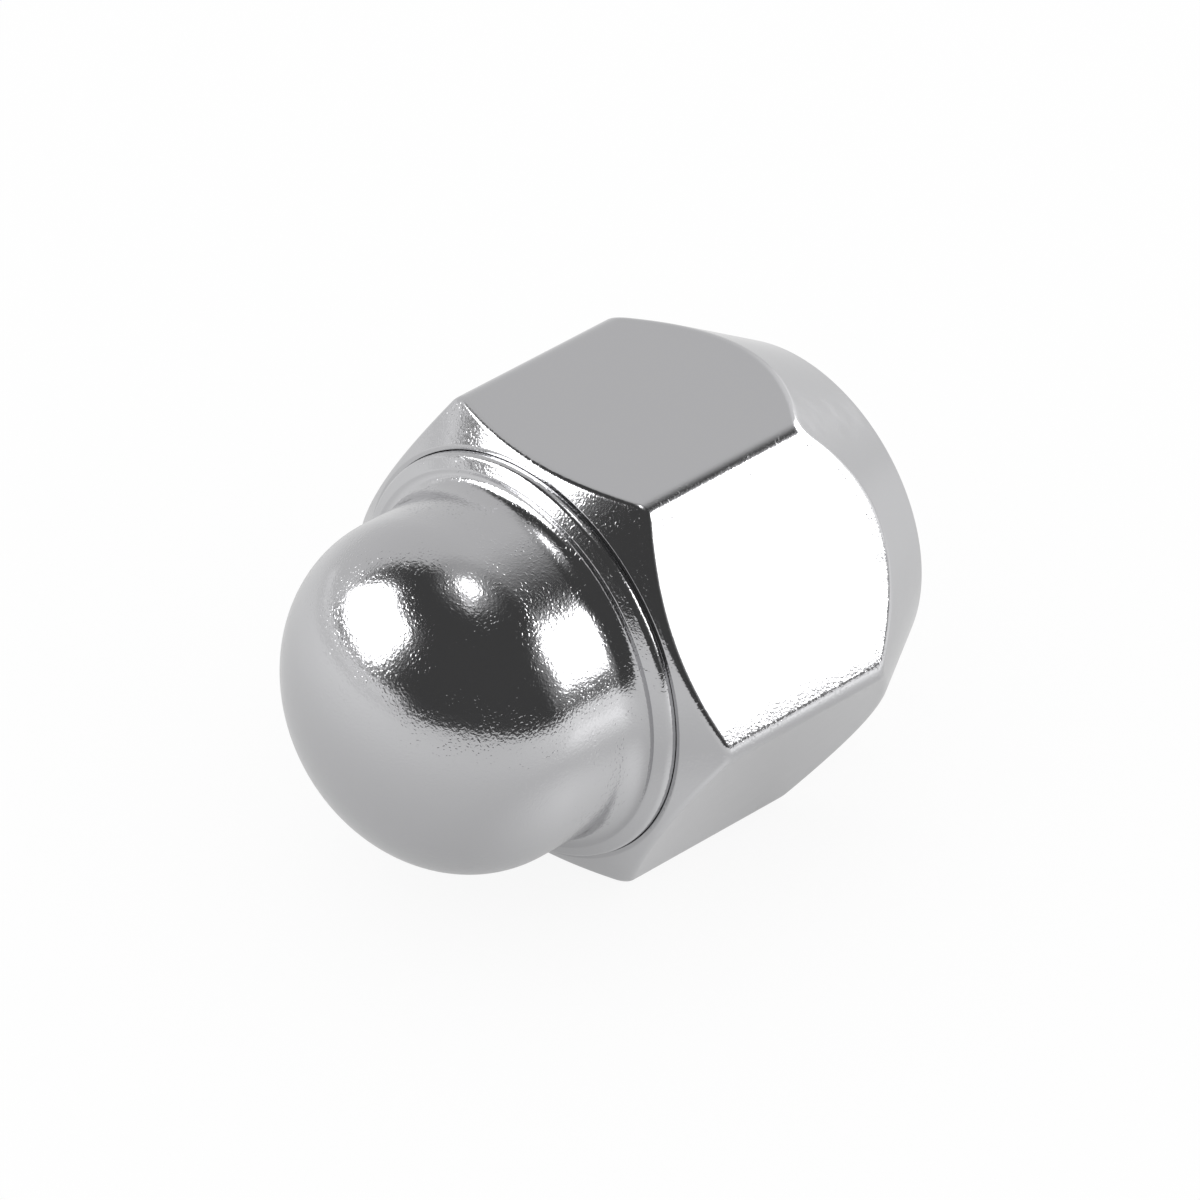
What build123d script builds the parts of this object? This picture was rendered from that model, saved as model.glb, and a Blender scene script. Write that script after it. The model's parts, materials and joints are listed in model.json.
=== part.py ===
from build123d import *
import math
import os

# Closed-end lug nut in millimetres: a hexagonal body with a thread right through it, and a pressed cap
# that closes the thread's far end. It lies on one flat of its hexagon, its dome towards -Y.
# Both pieces are drawn standing on the seat end, with the thread on Z, and are laid down at the end.

# Hexagon
across_flats = 19.0  # spanner size
long_edge_radius = 1.0  # rounding of the six long edges
chamfer_edge_radius = 0.35  # where the hexagon runs out into the chamfer
seat_edge_radius = 1.0  # where the hexagon runs out into the seat

# Thread, M12 x 1.5, drawn plain at its minor diameter
thread_diameter = 12.0
thread_pitch = 1.5
countersink_clearance = 0.3  # how much wider than the thread its countersinks are
countersink_angle = 90.0  # included angle, at both ends of the thread

# Wheel seat
seat_cone_angle = 60.0  # included angle
seat_land = 1.35  # flat ring round the countersink, at the seat's small end
seat_rim_chamfer = 0.2  # at the small end

# Dome side of the body
body_length = 15.9  # from the seat end to the crest round the cap
chamfer_slope = 36.5  # between the chamfer and the plane of the crest, in degrees
crest_inset = 0.3  # how far in from the flats the chamfer ends
crest_width = 0.2  # wall left round the recess
recess_depth = 0.3

# Pressed steel cap
sheet_thickness = 1.0
flange_clearance = 0.02  # gap all round between the flange and the recess
flange_slope = 31.0  # fall of the flange towards its rim, in degrees
flange_slope_width = 0.56
flange_land = 0.12  # level ring between the slope and the flare
flare_radius = 0.6  # hollow corner between flange and neck
neck_height = 3.4  # from the top of the flange to where the dome begins
dome_height = 6.2
dome_knuckle_radius = 5.35  # between the neck and the flatter crown

# Worked out from the sizes above
minor_diameter = thread_diameter - 1.0825 * thread_pitch  # ISO basic profile
countersink_diameter = thread_diameter + countersink_clearance
countersink_depth = (countersink_diameter - minor_diameter) / 2 / math.tan(math.radians(countersink_angle / 2))
seat_end_diameter = countersink_diameter + 2 * seat_land
crest_diameter = across_flats - 2 * crest_inset
corner_reach = across_flats / math.sqrt(3)  # from the axis to a sharp corner of the hexagon
seat_top = (corner_reach - seat_end_diameter / 2) / math.tan(math.radians(seat_cone_angle / 2))
chamfer_foot = body_length - (corner_reach - crest_diameter / 2) * math.tan(math.radians(chamfer_slope))
recess_diameter = crest_diameter - 2 * crest_width
recess_floor = body_length - recess_depth
flange_diameter = recess_diameter - 2 * flange_clearance
neck_diameter = flange_diameter - 2 * (flange_slope_width + flange_land + flare_radius)
flange_top = recess_floor + sheet_thickness
rim_top = flange_top - flange_slope_width * math.tan(math.radians(flange_slope))
dome_base = flange_top + neck_height
nut_length = dome_base + dome_height
knuckle_offset = neck_diameter / 2 - dome_knuckle_radius  # of the knuckle's centre from the axis
crown_radius = (knuckle_offset**2 + dome_height**2 - dome_knuckle_radius**2) / (
    2 * (dome_height - dome_knuckle_radius)
)  # touches the knuckle and passes through the tip


def turned(*outline):
    """Solid of revolution about Z, from the closed outline of its half section."""
    return revolve(make_face(Plane.XZ * Curve(children=outline)), Axis.Z)


def hexagonal_bar():
    """Length of hexagonal bar with rounded long edges, two of its flats facing +Y and -Y."""
    section = RegularPolygon(across_flats / 2, 6, major_radius=False)
    section = fillet(section.vertices(), long_edge_radius)
    return extrude(section, body_length)


def turned_ends():
    """Solid with the seat below and the chamfer above, as wide as the bar's corners between them."""
    return turned(
        Polyline(
            (0, 0),
            (seat_end_diameter / 2, 0),
            (corner_reach, seat_top),
            (corner_reach, chamfer_foot),
            (crest_diameter / 2, body_length),
            (0, body_length),
            close=True,
        )
    )


def bore_and_recess():
    """What is cut out of the body: the thread's hole, its two countersinks and the cap's recess."""
    minor = minor_diameter / 2
    mouth = countersink_diameter / 2
    recess = recess_diameter / 2
    return turned(
        Polyline(
            (0, 0),
            (mouth, 0),
            (minor, countersink_depth),
            (minor, recess_floor - countersink_depth),
            (mouth, recess_floor),
            (recess, recess_floor),
            (recess, body_length),
            (0, body_length),
            close=True,
        )
    )


def run_outs(body, upper):
    """Curved edges where the hexagon runs out into the chamfer, or into the seat below."""
    middle = (seat_top + chamfer_foot) / 2
    curves = [e for e in body.edges() if e.geom_type in (GeomType.HYPERBOLA, GeomType.BSPLINE)]
    return [e for e in curves if (e.center().Z > middle) == upper]


def nut_body():
    """Hexagonal body with its seat, chamfer, threaded hole and the recess for the cap."""
    body = hexagonal_bar() & turned_ends()
    body = fillet(run_outs(body, upper=True), chamfer_edge_radius)
    body = fillet(run_outs(body, upper=False), seat_edge_radius)
    small_end = body.faces().sort_by(Axis.Z)[0]
    body = chamfer(small_end.edges(), seat_rim_chamfer)
    return body - bore_and_recess()


def dome_arcs(inset):
    """Knuckle and crown of the dome's half section, as tangent arcs, inset from its outside."""
    crown_drop = crown_radius - dome_height
    knuckle_angle = math.degrees(math.atan2(crown_drop, knuckle_offset))
    return [
        CenterArc((knuckle_offset, dome_base), dome_knuckle_radius - inset, 0, knuckle_angle),
        CenterArc((0, dome_base - crown_drop), crown_radius - inset, knuckle_angle, 90 - knuckle_angle),
    ]


def dome_cap():
    """Cap pressed from one sheet: sloped flange, hollow flare, short neck and a flattened dome."""
    rim = flange_diameter / 2
    neck = neck_diameter / 2
    inner_neck = neck - sheet_thickness
    # the bend at the neck's foot is one 45 degree cut outside and inside, each touching the bend's arc there
    flare_cut = flare_radius * (1 - math.tan(math.radians(22.5)))
    bend_cut = (flare_radius + sheet_thickness) * (1 - math.tan(math.radians(22.5)))
    return turned(
        Polyline(
            (inner_neck, dome_base),
            (inner_neck, recess_floor + bend_cut),
            (inner_neck + bend_cut, recess_floor),
            (rim, recess_floor),
            (rim, rim_top),
            (rim - flange_slope_width, flange_top),
            (neck + flare_cut, flange_top),
            (neck, flange_top + flare_cut),
            (neck, dome_base),
        ),
        *dome_arcs(inset=0),
        Line((0, nut_length), (0, nut_length - sheet_thickness)),
        *dome_arcs(inset=sheet_thickness),
    )


def laid_down(piece):
    """The piece turned onto the flat that faces -Y, its dome end towards -Y, with Y measured from the middle."""
    return Pos(0, nut_length / 2, across_flats / 2) * Rot(90, 0, 0) * piece


os.makedirs("parts", exist_ok=True)
export_step(laid_down(nut_body()), "parts/nut_body.step")
export_step(laid_down(dome_cap()), "parts/dome_cap.step")
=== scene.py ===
import json
import math
import bpy
import numpy as np
from mathutils import Matrix, Vector

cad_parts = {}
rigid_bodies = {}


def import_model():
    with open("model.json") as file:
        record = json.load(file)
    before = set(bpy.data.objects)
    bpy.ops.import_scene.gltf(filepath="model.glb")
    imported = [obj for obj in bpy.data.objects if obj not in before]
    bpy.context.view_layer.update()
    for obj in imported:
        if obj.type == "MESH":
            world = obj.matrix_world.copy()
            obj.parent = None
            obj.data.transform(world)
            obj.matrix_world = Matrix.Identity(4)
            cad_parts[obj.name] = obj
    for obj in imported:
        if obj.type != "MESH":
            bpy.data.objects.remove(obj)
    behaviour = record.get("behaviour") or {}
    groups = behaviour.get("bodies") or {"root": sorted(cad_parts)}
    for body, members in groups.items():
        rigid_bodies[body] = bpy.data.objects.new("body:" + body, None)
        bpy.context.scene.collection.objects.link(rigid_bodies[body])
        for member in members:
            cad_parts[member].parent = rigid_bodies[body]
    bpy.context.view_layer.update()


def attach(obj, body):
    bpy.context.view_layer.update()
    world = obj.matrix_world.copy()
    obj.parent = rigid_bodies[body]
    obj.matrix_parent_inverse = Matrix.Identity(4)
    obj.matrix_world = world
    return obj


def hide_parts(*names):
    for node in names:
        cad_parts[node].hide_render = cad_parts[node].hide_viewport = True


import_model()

mm = 0.001

# Lug nut in chromed steel, lying on a flat of its hexagon on a white table, its dome towards the camera.
# Everything round is worked out as s, the distance from the seat end towards the dome, and r, the distance
# from the thread's axis, both in millimetres, and goes into the frame by toFrame().


# Nodes and shader sums

class Signal:
    # a node's output that can be written in sums, so that 1 - mask * 0.5 adds its own Math nodes
    def __init__(self, sheet, socket):
        self.sheet = sheet
        self.socket = socket

    def __add__(self, other):
        return self.sheet.math("ADD", self, other)

    def __radd__(self, other):
        return self.sheet.math("ADD", other, self)

    def __sub__(self, other):
        return self.sheet.math("SUBTRACT", self, other)

    def __rsub__(self, other):
        return self.sheet.math("SUBTRACT", other, self)

    def __mul__(self, other):
        return self.sheet.math("MULTIPLY", self, other)

    def __rmul__(self, other):
        return self.sheet.math("MULTIPLY", other, self)

    def __truediv__(self, other):
        return self.sheet.math("DIVIDE", self, other)

    def __rtruediv__(self, other):
        return self.sheet.math("DIVIDE", other, self)

    def __neg__(self):
        return self.sheet.math("MULTIPLY", self, -1.0)

    def __abs__(self):
        return self.sheet.math("ABSOLUTE", self)

    def atLeast(self, other):
        return self.sheet.math("MAXIMUM", self, other)

    def atMost(self, other):
        return self.sheet.math("MINIMUM", self, other)

    def rise(self, start, end):
        # 0 up to start, 1 from end on, and a soft S between them
        return self.sheet.add("ShaderNodeMapRange", {"interpolation_type": "SMOOTHSTEP"},
                              {"Value": self, "From Min": start, "From Max": end})


class NodeSheet:
    # the node tree of a material or of the world, emptied first
    def __init__(self, owner):
        owner.use_nodes = True
        self.tree = owner.node_tree
        self.tree.nodes.clear()

    def add(self, kind, settings=None, sockets=None, out=0):
        # settings go in first, then the sockets' values or links; out picks the output that comes back
        node = self.tree.nodes.new(kind)
        for name, value in (settings or {}).items():
            setattr(node, name, value)
        for name, value in (sockets or {}).items():
            if isinstance(value, Signal):
                self.tree.links.new(value.socket, node.inputs[name])
            else:
                node.inputs[name].default_value = value
        return Signal(self, node.outputs[out]) if node.outputs else None

    def math(self, operation, *terms):
        return self.add("ShaderNodeMath", {"operation": operation}, dict(enumerate(terms)))

    def split(self, vector):
        # the x, y and z of a vector
        node = self.add("ShaderNodeSeparateXYZ", {}, {"Vector": vector}).socket.node
        return [Signal(self, output) for output in node.outputs]


# Shapes

layout = {
    "length": 26.2,  # the whole nut, along the thread
    "axisHeight": 9.5,  # of the thread's axis above the table
}


def toFrame(s, r, angle):
    # s runs towards the dome, which is -Y; angle is 0 at +X and 90 degrees at +Z
    x = r * np.cos(angle)
    y = layout["length"] / 2 - s + 0 * x
    z = layout["axisHeight"] + r * np.sin(angle)
    return np.stack([x, y, z], -1) * mm


def arcAndLinePath(corners, radii, arcSteps, lineSteps):
    # A path through the corners with each corner rounded by its radius, as rows of (s, r) for every column.
    # The arc touches both lines, radius * tan(turn / 2) from the corner, and its points are at equal angles.
    # Each corner is an array of shape (columns, 2), and the path is closed, from the last back to the first.
    count = len(corners)
    arcs = []
    for k in range(count):
        here = corners[k]
        toPrevious = corners[k - 1] - here
        toNext = corners[(k + 1) % count] - here
        toPrevious = toPrevious / np.linalg.norm(toPrevious, axis=-1, keepdims=True)
        toNext = toNext / np.linalg.norm(toNext, axis=-1, keepdims=True)
        half = np.arccos(np.clip((toPrevious * toNext).sum(-1, keepdims=True), -1, 1)) / 2
        bisector = toPrevious + toNext
        bisector = bisector / np.linalg.norm(bisector, axis=-1, keepdims=True)
        centre = here + bisector * radii[k] / np.sin(half)
        start = here + toPrevious * radii[k] / np.tan(half) - centre
        turn = np.pi - 2 * half
        side = np.sign(start[..., :1] * (here - centre)[..., 1:] - start[..., 1:] * (here - centre)[..., :1])
        steps = np.linspace(0, 1, arcSteps[k] + 1)[:, None, None]
        angle = side * turn * steps
        x = start[..., :1] * np.cos(angle) - start[..., 1:] * np.sin(angle)
        y = start[..., :1] * np.sin(angle) + start[..., 1:] * np.cos(angle)
        arcs.append(centre + np.concatenate([x, y], -1))
    rows = []
    for k in range(count):
        rows.append(arcs[k])
        first = arcs[k][-1]
        last = arcs[(k + 1) % count][0]
        steps = lineSteps[k]
        if np.isscalar(steps):
            steps = np.linspace(0, 1, steps + 1)[1:-1]
        rows.append(first + (last - first) * np.asarray(steps)[:, None, None])
    return np.concatenate(rows)


def makePiece(name, points, tips, material):
    # A closed mesh from rows and columns of points, where each row is a ring round the thread's axis. Without
    # tips the last row joins the first. With two tips each end row closes on its tip. Each corner's normal is
    # the sum of its faces' normals weighted by area, so a flat next to a small rounding mirrors as a flat.
    rows, columns = points.shape[:2]
    index = np.arange(rows * columns).reshape(rows, columns)
    here = index if tips is None else index[:-1]
    after = np.roll(index, -1, 0)[:len(here)]
    quads = np.stack([here, after, np.roll(after, -1, 1), np.roll(here, -1, 1)], -1).reshape(-1, 4)
    spots = points.reshape(-1, 3)
    faces = [quads]
    if tips is not None:
        first = rows * columns
        spots = np.concatenate([spots, tips])
        start, end = index[0], index[-1]
        faces.append(np.stack([np.full(columns, first), start, np.roll(start, -1)], -1))
        faces.append(np.stack([end, np.full(columns, first + 1), np.roll(end, -1)], -1))

    def areaNormals(group):
        corner = spots[group]
        return np.cross(corner[:, 2] - corner[:, 0], corner[:, -1] - corner[:, 1]) / 2

    volume = sum((areaNormals(group) * spots[group].mean(1)).sum() for group in faces)
    if volume < 0:
        faces = [group[:, ::-1] for group in faces]
    normal = np.zeros_like(spots)
    for group in faces:
        areas = areaNormals(group)
        for k in range(group.shape[1]):
            np.add.at(normal, group[:, k], areas)
    normal = normal / np.maximum(np.linalg.norm(normal, axis=-1, keepdims=True), 1e-20)
    corners = np.concatenate([group.ravel() for group in faces]).astype(np.int32)
    sizes = np.concatenate([np.full(len(group), group.shape[1]) for group in faces])
    starts = np.concatenate([[0], np.cumsum(sizes)[:-1]]).astype(np.int32)
    mesh = bpy.data.meshes.new(name)
    mesh.vertices.add(len(spots))
    mesh.loops.add(len(corners))
    mesh.polygons.add(len(sizes))
    mesh.vertices.foreach_set("co", spots.astype(np.float32).ravel())
    mesh.loops.foreach_set("vertex_index", corners)
    mesh.polygons.foreach_set("loop_start", starts)
    mesh.update(calc_edges=True)
    mesh.validate()
    mesh.shade_smooth()
    mesh.normals_split_custom_set_from_vertices(normal)
    mesh.materials.append(material)
    piece = bpy.data.objects.new(name, mesh)
    bpy.context.scene.collection.objects.link(piece)
    return piece


bodyShape = {
    "acrossFlats": 19.0,
    "longEdge": 1.0,  # rounding of the six long edges
    "crestAt": 15.9,  # s of the crest round the cap
    "crestOut": 9.2,  # radius where the chamfer ends
    "chamferSlope": 36.5,  # degrees
    "chamferEdge": 0.45,  # run-out of the hexagon into the chamfer
    "seatEdge": 1.0,  # run-out of the hexagon into the seat
    "seatEnd": 7.5,  # radius of the seat's small end, at s = 0
    "seatHalfAngle": 30.0,
    "seatRim": 0.3,  # rounding of the small end
    "recess": 9.0,  # radius of the recess for the cap
    "recessFloor": 15.6,
    "minor": 5.188,  # radius of the thread's crests
    "mouth": 6.15,  # radius of the countersinks at the ends of the thread
    "edgeColumns": 12,  # across each rounded long edge
    "flatColumns": 28,  # across each flat
    "lineRows": [0.04, 0.12, 0.3, 0.5, 0.7, 0.88, 0.96],  # rows along a face, close together at its ends
}

threadShape = {
    "pitch": 1.5,
    "major": 6.03,  # radius of the groove's root
    "flankHalfAngle": 30.0,
    "rowsPerPitch": 18,
    "firstTurn": 0.35,  # where round the hole the thread starts, in turns
}


def hexagonRadius(angle):
    # distance from the axis to a hexagon with rounded corners: its flat, or near a corner the corner's arc
    size = bodyShape
    apothem = size["acrossFlats"] / 2
    fromCorner = np.abs((angle + np.pi / 6) % (np.pi / 3) - np.pi / 6)
    flat = apothem / np.cos(np.pi / 6 - fromCorner)
    centre = apothem / math.cos(math.pi / 6) - size["longEdge"] / math.cos(math.pi / 6)
    reach = np.sqrt(np.maximum(size["longEdge"] ** 2 - (centre * np.sin(fromCorner)) ** 2, 0))
    arc = centre * np.cos(fromCorner) + reach
    tangentAt = math.atan2(size["longEdge"] / 2, centre + size["longEdge"] * math.cos(math.pi / 6))
    return np.where(fromCorner < tangentAt, arc, flat), tangentAt


def threadRadius(s, angle):
    # right-hand thread cut into the bore: a trapezoid in the distance from the middle of the groove
    size = threadShape
    place = (s / size["pitch"] - angle / (2 * np.pi) + size["firstTurn"]) % 1.0
    fromGroove = np.abs(place - 0.5) * size["pitch"]
    rootHalf = size["pitch"] / 16
    return size["major"] - np.maximum(fromGroove - rootHalf, 0) / math.tan(math.radians(size["flankHalfAngle"]))


def bodyColumns():
    # closer together over the rounded long edges than over the flats
    tangentAt = hexagonRadius(np.zeros(1))[1]
    size = bodyShape
    edge = np.linspace(-tangentAt, tangentAt, size["edgeColumns"] + 1)[:-1]
    flat = np.linspace(tangentAt, np.pi / 3 - tangentAt, size["flatColumns"] + 1)[:-1]
    sector = np.concatenate([edge, flat])
    return np.concatenate([sector + k * np.pi / 3 for k in range(6)])


def makeNutBody(material):
    # Every column is one closed path of (s, r) at its own angle: down the bore, over the recess, the crest and
    # the chamfer, along the hexagon and back down the seat. Then the thread is cut into the rows of the bore.
    size = bodyShape
    angle = bodyColumns()
    hexagon = hexagonRadius(angle)[0]
    slope = math.tan(math.radians(size["chamferSlope"]))
    chamferFoot = size["crestAt"] - (hexagon - size["crestOut"]) * slope
    seatTop = (hexagon - size["seatEnd"]) / math.tan(math.radians(size["seatHalfAngle"]))
    countersink = size["mouth"] - size["minor"]

    def ring(s, r):
        return np.stack([s + 0 * angle, r + 0 * angle], -1)

    close = size["lineRows"]
    turns = (size["recessFloor"] - 2 * countersink) / threadShape["pitch"]
    threadRows = round(turns * threadShape["rowsPerPitch"])
    edges = [  # s and r of each edge, its rounding, the steps across it, and the steps to the next edge
        (size["recessFloor"] - countersink, size["minor"], 0.02, 1, 12),
        (size["recessFloor"], size["mouth"], 0.04, 2, close),
        (size["recessFloor"], size["recess"], 0.05, 2, 3),
        (size["crestAt"], size["recess"], 0.03, 4, 2),
        (size["crestAt"], size["crestOut"], 0.09, 5, close),
        (chamferFoot, hexagon, size["chamferEdge"], 7, close),
        (seatTop, hexagon, size["seatEdge"], 8, close),
        (0, size["seatEnd"], size["seatRim"], 8, close),
        (0, size["mouth"], 0.06, 3, 12),
        (countersink, size["minor"], 0.02, 1, threadRows),
    ]
    corners = [ring(*edge[:2]) for edge in edges]
    radii, arcSteps, lineSteps = zip(*(edge[2:] for edge in edges))
    path = arcAndLinePath(corners, radii, arcSteps, lineSteps)
    s, r = path[..., 0], path[..., 1]
    inBore = r < size["mouth"] + 0.01
    r = np.where(inBore, np.maximum(r, threadRadius(s, angle[None, :])), r)
    return makePiece("nutBody", toFrame(s, r, angle[None, :] + 0 * s), None, material)


capShape = {
    "rim": 8.98,  # radius of the flange
    "floor": 15.6,  # underside of the flange, on the recess floor
    "rimTop": 16.264,  # where the rim's wall would meet the slope
    "shoulder": 8.42,  # radius where the slope meets the level ring
    "flangeTop": 16.6,
    "neck": 7.7,  # radius
    "flareOut": 0.6,  # hollow corner between flange and neck, a quarter of an ellipse
    "flareUp": 1.1,
    "rimEdge": 0.3,  # rounding of the flange's upper rim
    "domeBase": 20.0,
    "domeHeight": 6.2,
    "sheet": 1.0,  # thickness
    "columns": 240,
    "flareRows": 13,
    "rimRows": 7,
    "neckRows": 11,
    "domeRows": 90,
    "innerDomeRows": 40,
}


def domeProfile(neck, height, base, steps):
    # quarter of an ellipse from the neck up to just short of the tip
    turn = np.linspace(0, 1, steps + 1)[1:-1] * math.pi / 2
    return np.stack([base + height * np.sin(turn), neck * np.cos(turn)], -1)


def makeDomeCap(material):
    # One closed profile of (s, r), from the inside of the tip down the inner wall, round the flange, up the
    # flare and the neck and over the dome, turned round the thread's axis. The rows a few hundredths of a
    # millimetre either side of an edge keep its rounding small.
    size = capShape
    neck, sheet = size["neck"], size["sheet"]
    flareAngle = np.linspace(0, math.pi / 2, size["flareRows"])
    flare = np.stack([size["flangeTop"] + size["flareUp"] * (1 - np.cos(flareAngle)),
                      neck + size["flareOut"] * (1 - np.sin(flareAngle))], -1)
    bendRadius = size["flareOut"] + sheet
    bend = np.stack([size["floor"] + bendRadius * (1 - np.cos(flareAngle)),
                     neck - sheet + bendRadius * (1 - np.sin(flareAngle))], -1)
    edge = size["rimEdge"]
    lean = math.atan2(size["flangeTop"] - size["rimTop"], size["rim"] - size["shoulder"])
    rimArc = np.linspace(0, math.pi / 2 - lean, size["rimRows"])
    cut = edge * math.tan((math.pi / 2 - lean) / 2)
    rim = np.stack([size["rimTop"] - cut + edge * np.sin(rimArc),
                    size["rim"] - edge + edge * np.cos(rimArc)], -1)
    wall = np.array([[size["floor"] + 0.03, size["rim"]], [size["rimTop"] - cut - 0.02, size["rim"]]])
    shoulder = np.array([[size["flangeTop"] - 0.03, size["shoulder"] + 0.05],
                         [size["flangeTop"] - 0.004, size["shoulder"] + 0.005],
                         [size["flangeTop"], size["shoulder"] - 0.02]])
    neckAt = np.linspace(flare[-1, 0], size["domeBase"], size["neckRows"] + 1)[1:]
    neckRows = np.stack([neckAt, np.full(size["neckRows"], neck)], -1)
    outer = domeProfile(neck, size["domeHeight"], size["domeBase"], size["domeRows"])
    inner = domeProfile(neck - sheet, size["domeHeight"] - sheet, size["domeBase"], size["innerDomeRows"])
    innerNeck = np.array([[size["domeBase"], neck - sheet]])
    foot = np.array([[size["floor"], size["rim"] - 0.03]])
    inside = [inner[::-1], innerNeck, bend[::-1]]
    profile = np.concatenate([*inside, foot, wall, rim, shoulder, flare, neckRows, outer])
    angle = np.linspace(0, 2 * math.pi, size["columns"] + 1)[:-1]
    s = profile[:, :1] + 0 * angle
    r = profile[:, 1:] + 0 * angle
    tipAt = size["domeBase"] + size["domeHeight"]
    tips = toFrame(np.array([tipAt - sheet, tipAt]), np.zeros(2), np.zeros(2))
    return makePiece("domeCap", toFrame(s, r, angle[None, :] + 0 * s), tips, material)


# Finishes

chromeFinish = {
    "reflectance": (0.54, 0.54, 0.552, 1.0),
    "roughness": 0.12,
    "peelSize": 1.3,  # orange peel of the plating, in millimetres
    "peelHeight": 0.009,
    "grainSize": 0.13,  # grain of the steel under the plating
    "grainHeight": 0.0065,
    "speckSize": 0.11,  # small bumps that glint in the dark parts
    "speckHeight": 0.0052,
    "speckEdge": (0.58, 0.8),  # noise at which a bump starts and is full
    "patchSize": 1.1,  # of the patches where the bumps crowd together
    "patchEdge": (0.35, 0.65),
    "patchLeast": 0.2,  # share of the bumps between the patches
}


def makeChrome(name, settings, roughShare):
    # roughShare works out, from a place on the piece, how much of the grain and the bumps that place has
    material = bpy.data.materials.new(name)
    sheet = NodeSheet(material)
    place = sheet.add("ShaderNodeTexCoord", out="Object")

    def noise(size, detail):
        return sheet.add("ShaderNodeTexNoise", {"noise_dimensions": "3D"},
                         {"Vector": place, "Scale": 1 / (size * mm), "Detail": detail, "Roughness": 0.55})

    peel = noise(settings["peelSize"], 1.0) * settings["peelHeight"]
    grain = noise(settings["grainSize"], 1.0) * settings["grainHeight"]
    least = settings["patchLeast"]
    patches = noise(settings["patchSize"], 1.0).rise(*settings["patchEdge"]) * (1 - least) + least
    specks = noise(settings["speckSize"], 0.0).rise(*settings["speckEdge"]) * patches * settings["speckHeight"]
    height = peel + (grain + specks) * roughShare(sheet, place)
    bump = sheet.add("ShaderNodeBump", {}, {"Strength": 1.0, "Distance": mm, "Height": height})
    shader = sheet.add("ShaderNodeBsdfPrincipled", {}, {
        "Base Color": settings["reflectance"],
        "Metallic": 1.0,
        "Roughness": settings["roughness"],
        "Normal": bump,
    })
    sheet.add("ShaderNodeOutputMaterial", {}, {"Surface": shader})
    return material


def capRoughShare(sheet, place):
    # the same all over the cap
    return 1.0


bodyRoughness = {
    "chamfer": (-0.3, 0.0),  # millimetres past the chamfer's edge where the roughness starts and is full
    "chamferShare": 0.8,
    "longEdge": (10.25, 10.72),  # the same for the long edges, as a distance from the axis
    "longEdgeShare": 1.3,
    "longEdgeFall": (0.0, 4.0),  # height over the axis where that share starts to fall and has fallen
    "longEdgeLoss": 0.9,
    "seatStrip": (-0.05, 0.2),  # the same for the strip, before the seat
    "seatStripEnd": (0.2, 1.1),
    "seatStripShare": 0.6,
}


def bodyRoughShare(sheet, place):
    # The flats and the seat are drawn and turned smooth. The chamfer is rough all over, the long edges and the
    # strip of each flat next to them partly, and so is the strip of each flat next to the seat.
    x, y, z = (part / mm for part in sheet.split(place))
    up = z - layout["axisHeight"]
    r = sheet.math("SQRT", x * x + up * up)
    s = layout["length"] / 2 - y
    size = bodyShape
    pastChamfer = s - size["crestAt"] + (r - size["crestOut"]) * math.tan(math.radians(size["chamferSlope"]))
    beforeSeat = s - (r - size["seatEnd"]) / math.tan(math.radians(size["seatHalfAngle"]))
    rough = bodyRoughness
    chamfer = pastChamfer.rise(*rough["chamfer"]) * rough["chamferShare"]
    longEdgeShare = rough["longEdgeShare"] - up.rise(*rough["longEdgeFall"]) * rough["longEdgeLoss"]
    longEdge = r.rise(*rough["longEdge"]) * longEdgeShare
    seatStrip = (1 - beforeSeat.rise(*rough["seatStripEnd"])) * beforeSeat.rise(*rough["seatStrip"])
    return chamfer.atLeast(longEdge.atLeast(seatStrip * rough["seatStripShare"]))


# Table, light and camera

studio = {
    "tableWhite": 0.95,
    "tableGlow": 0.9,  # share of the table's white that no shadow takes away, as the camera sees it
    "mirroredGlow": 0.65,  # the same, as the chrome mirrors it
    "paintedShadowNear": (0.008, 0.6),  # painted shadow round the nut in the mirrored glow: metres from the middle, and how bright the glow is up to there
    "paintedShadowFar": (0.05, 0.8),  # where that painted shadow ends: the same from there on
    "tableSize": 3.0,  # metres
    "paintedLightPools": [  # painted pools of light on the table under the softboxes, seen only in the chrome: middle and radius in metres, and how much
        ((-0.08, -0.09), 0.14, 0.2),
        ((0.13, 0.1), 0.17, 0.45),
        ((0.014, -0.002), 0.014, 0.28),
        ((0.042, 0.031), 0.035, 0.55),
    ],
    "dark": 0.07,  # of the room
    "tent": {  # in degrees, its azimuths counted from its middle
        "middle": -130.0,
        "start": (-80.0, -14.0),  # fades in
        "end": (61.0, 75.0),  # fades out, along an edge that leans by so much for each degree up
        "endLean": 0.5,
        "top": (52.0, 84.0),
        "glow": 0.73,  # at the horizon, and what it loses for each degree up
        "loss": 0.0013,
    },
    "softboxGlow": 6.0,
    "softboxEdge": (0.3, 1.8),  # where the glow starts to fall and is gone, 1 being the rectangle's edge
    "hazeEdge": (1.0, 7.0),  # the same for the haze
    "softboxes": [  # azimuth, elevation, half width and half height in degrees, lean, and haze round it
        (-43.5, 27.0, 23.5, 15.5, -0.28, 0.14),
        (160.0, 24.0, 36.5, 15.6, 0.0, 0.3),
    ],
    "lamps": [  # azimuth, elevation, radius where its edge starts and ends in degrees, strength
        (-145.0, 84.0, 3.0, 9.0, 4.0),
        (-145.0, 84.0, 4.0, 24.0, 0.45),
        (46.0, 83.0, 1.0, 8.0, 0.7),
    ],
    "strips": [  # azimuth, half width where its edge starts and ends, height in degrees, strength
        (-52.0, 38.0, 56.0, 6.0, 0.95),
        (178.0, 26.0, 44.0, 8.0, 1.0),
    ],
}


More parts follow.
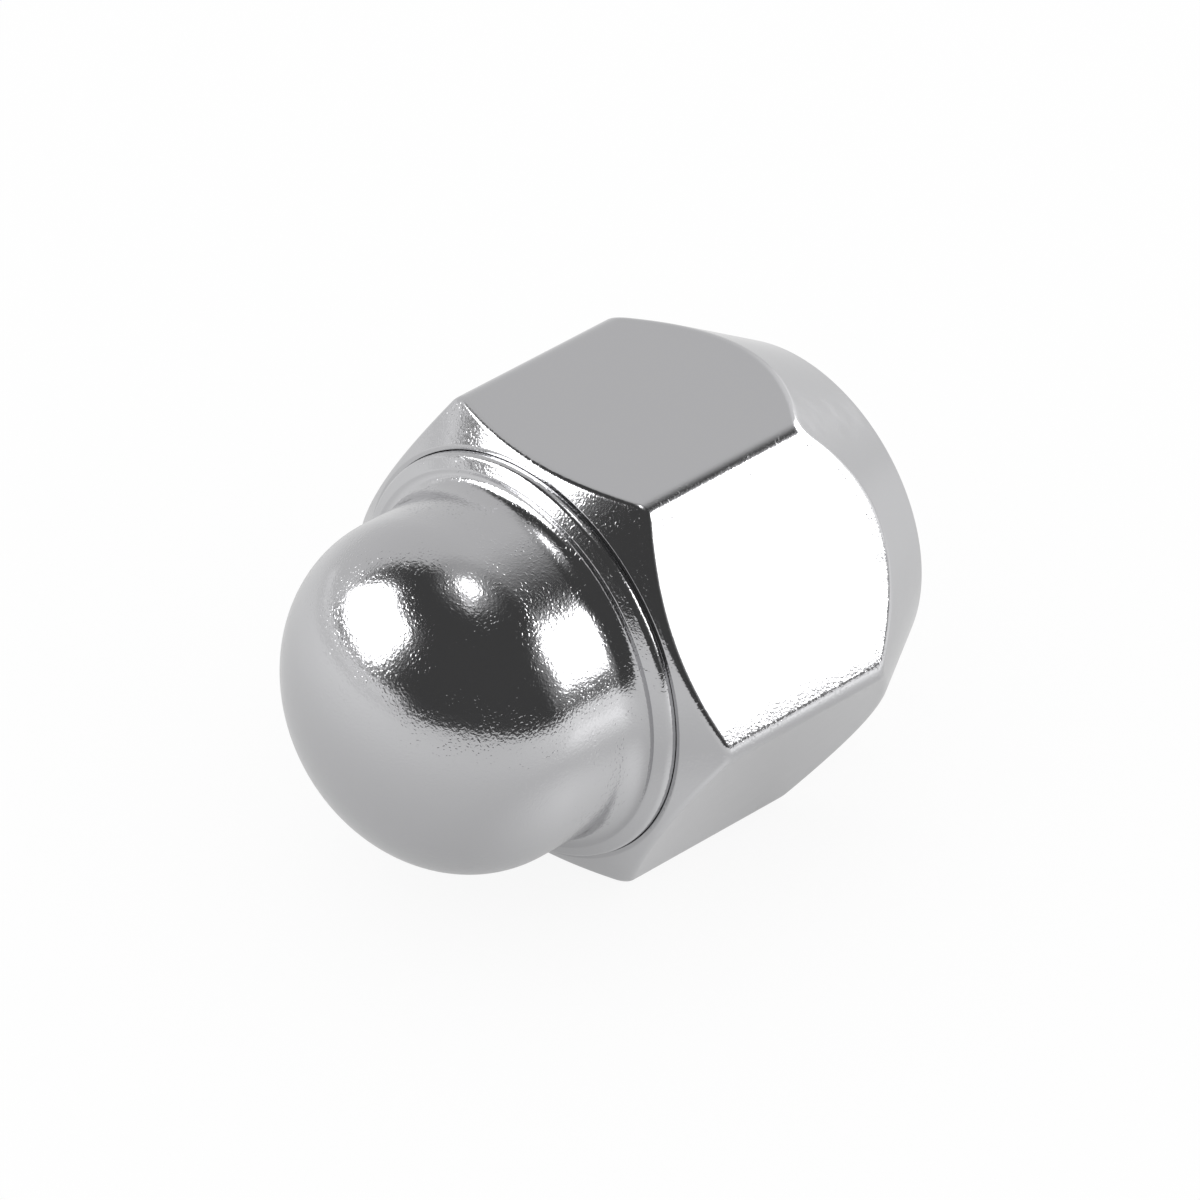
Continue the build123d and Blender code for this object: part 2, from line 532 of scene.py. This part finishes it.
def makeTable():
    # White, and drawn mostly as a plain glow, so that only a soft shadow stays round the nut. In the chrome the
    # glow has a painted shadow near the nut and a painted pool of light under each softbox.
    half = studio["tableSize"] / 2
    mesh = bpy.data.meshes.new("table")
    corners = [(-half, -half, 0), (half, -half, 0), (half, half, 0), (-half, half, 0)]
    mesh.from_pydata(corners, [], [(0, 1, 2, 3)])
    table = bpy.data.objects.new("table", mesh)
    bpy.context.scene.collection.objects.link(table)
    material = bpy.data.materials.new("tableWhite")
    sheet = NodeSheet(material)
    cameraRay = sheet.add("ShaderNodeLightPath", out="Is Camera Ray")
    mirrored = sheet.add("ShaderNodeLightPath", out="Is Glossy Ray")
    white = studio["tableWhite"]
    paper = sheet.add("ShaderNodeBsdfDiffuse", {}, {"Color": (white, white, white, 1.0)})
    place = sheet.add("ShaderNodeTexCoord", out="Object")

    def away(middle):
        return sheet.add("ShaderNodeVectorMath", {"operation": "DISTANCE"},
                         {0: place, 1: (*middle, 0.0)}, out="Value")

    (nearest, shaded), (furthest, lit) = studio["paintedShadowNear"], studio["paintedShadowFar"]
    # painted shadow: the glow the chrome mirrors is dimmer near the nut, in place of the nut's shadow on the
    # table
    paintedNutShadow = away((0.0, 0.0)).rise(nearest, furthest) * (lit - shaded) + shaded
    glow = sheet.add("ShaderNodeEmission", {}, {"Color": 1.0 + mirrored * (paintedNutShadow - 1.0)})
    share = cameraRay * studio["tableGlow"] + mirrored * studio["mirroredGlow"]
    seen = sheet.add("ShaderNodeMixShader", {}, {0: share, 1: paper, 2: glow})
    # painted light: brighter pools on the table where the softboxes would light it, added only to glossy rays
    paintedLightPools = sum((1 - away(middle).rise(0.0, radius)) * strength for middle, radius, strength in studio["paintedLightPools"])
    paintedPoolGlow = sheet.add("ShaderNodeEmission", {}, {"Color": paintedLightPools * mirrored})
    both = sheet.add("ShaderNodeAddShader", {}, {0: seen, 1: paintedPoolGlow})
    sheet.add("ShaderNodeOutputMaterial", {}, {"Surface": both})
    mesh.materials.append(material)
    return table


def makeStudioLight():
    # What the chrome mirrors: a tent behind on the left, two softboxes, round lamps overhead, the table's far
    # ends and a dark room, over azimuth (0 at the front, 90 at +X) and elevation in degrees. All else gets an
    # even white light.
    world = bpy.data.worlds.new("studio")
    bpy.context.scene.world = world
    sheet = NodeSheet(world)
    x, y, z = sheet.split(sheet.add("ShaderNodeTexCoord", out="Generated"))
    degrees = 180 / math.pi
    azimuth = sheet.math("ARCTAN2", x, -y) * degrees
    elevation = sheet.math("ARCSINE", z) * degrees

    def around(centre):
        # azimuth counted from centre, within 180 degrees either way
        return sheet.math("WRAP", azimuth - centre, 180.0, -180.0)

    def softbox(centre, height, halfWidth, halfHeight, lean, haze):
        # rounded rectangle, sheared by its lean: bright where u^4 + v^4 is under 1, with a soft edge
        across = around(centre)
        u = (across + (elevation - height) * lean) / halfWidth
        v = (elevation - height - across * lean * 0.35) / halfHeight
        size = sheet.math("POWER", abs(u), 4.0) + sheet.math("POWER", abs(v), 4.0)
        box = (1 - size.rise(*studio["softboxEdge"])) * studio["softboxGlow"]
        return box + (1 - size.rise(*studio["hazeEdge"])) * haze

    def strip(centre, inner, outer, height, strength):
        # the table's white running on up to a low height: full within inner degrees of centre, none past outer
        soft = 2.5
        sides = 1 - abs(around(centre)).rise(inner, outer)
        return sides * (1 - elevation.rise(height - soft, height + soft)) * strength

    def lamp(centre, height, inner, outer, strength):
        # round: full within inner degrees of the middle, none past outer
        a, e = math.radians(centre), math.radians(height)
        towards = x * (math.sin(a) * math.cos(e)) - y * (math.cos(a) * math.cos(e)) + z * math.sin(e)
        away = sheet.math("ARCCOSINE", towards.atMost(1.0)) * degrees
        return (1 - away.rise(inner, outer)) * strength

    shape = studio["tent"]
    behind = around(shape["middle"])
    tent = behind.rise(*shape["start"]) * (1 - (behind + elevation * shape["endLean"]).rise(*shape["end"]))
    tent = tent * (1 - elevation.rise(*shape["top"])) * (shape["glow"] - elevation * shape["loss"])
    sweep = sum(strip(*values) for values in studio["strips"])
    boxes = sum(softbox(*values) for values in studio["softboxes"])
    overhead = sum(lamp(*values) for values in studio["lamps"])
    mirrored = studio["dark"] + tent.atLeast(sweep) + boxes + overhead
    isGlossy = sheet.add("ShaderNodeLightPath", out="Is Glossy Ray")
    strength = 1.0 + (mirrored - 1.0) * isGlossy
    white = (1.0, 1.0, 1.0, 1.0)
    background = sheet.add("ShaderNodeBackground", {}, {"Color": white, "Strength": strength})
    sheet.add("ShaderNodeOutputWorld", {}, {"Surface": background})


cameraPlace = {
    "azimuth": 43.982,  # from the front, towards +X, in degrees
    "elevation": 35.346,
    "roll": 2.615,
    "distance": 0.461853,
    "aim": (0.0, 1.929 * mm, 9.5 * mm),  # on the axis, in the middle of the hexagon
    "shiftRight": -0.154 * mm,
    "shiftUp": 0.345 * mm,
    "focalPixels": 11185.4,  # in a picture 1200 pixels wide
    "pictureWidth": 1200,
}


def makeCamera():
    place = cameraPlace
    azimuth, elevation, roll = (math.radians(place[k]) for k in ("azimuth", "elevation", "roll"))
    back = Vector((math.sin(azimuth) * math.cos(elevation), -math.cos(azimuth) * math.cos(elevation),
                   math.sin(elevation)))
    right = (-back).cross(Vector((0, 0, 1))).normalized()
    up = right.cross(-back)
    turnedRight = right * math.cos(roll) + up * math.sin(roll)
    turnedUp = up * math.cos(roll) - right * math.sin(roll)
    data = bpy.data.cameras.new("camera")
    camera = bpy.data.objects.new("camera", data)
    bpy.context.scene.collection.objects.link(camera)
    data.sensor_width = 36.0
    data.lens = place["focalPixels"] / place["pictureWidth"] * data.sensor_width
    data.clip_start = 0.01
    data.clip_end = 20.0
    spot = (Vector(place["aim"]) + back * place["distance"] + turnedRight * place["shiftRight"]
            + turnedUp * place["shiftUp"])
    turn = Matrix((turnedRight, turnedUp, back)).transposed().to_4x4()
    camera.matrix_world = Matrix.Translation(spot) @ turn
    bpy.context.scene.camera = camera


makeCamera()
makeTable()
makeStudioLight()
print("stage: camera, table and light")

bodyChrome = makeChrome("bodyChrome", chromeFinish, bodyRoughShare)
capChrome = makeChrome("capChrome", chromeFinish, capRoughShare)

nutBody = makeNutBody(bodyChrome)
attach(nutBody, "root")
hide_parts("nut_body")
print("body:", len(nutBody.data.polygons), "faces")

domeCap = makeDomeCap(capChrome)
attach(domeCap, "root")
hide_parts("dome_cap")
print("cap:", len(domeCap.data.polygons), "faces")

bpy.context.scene.view_settings.view_transform = "Standard"
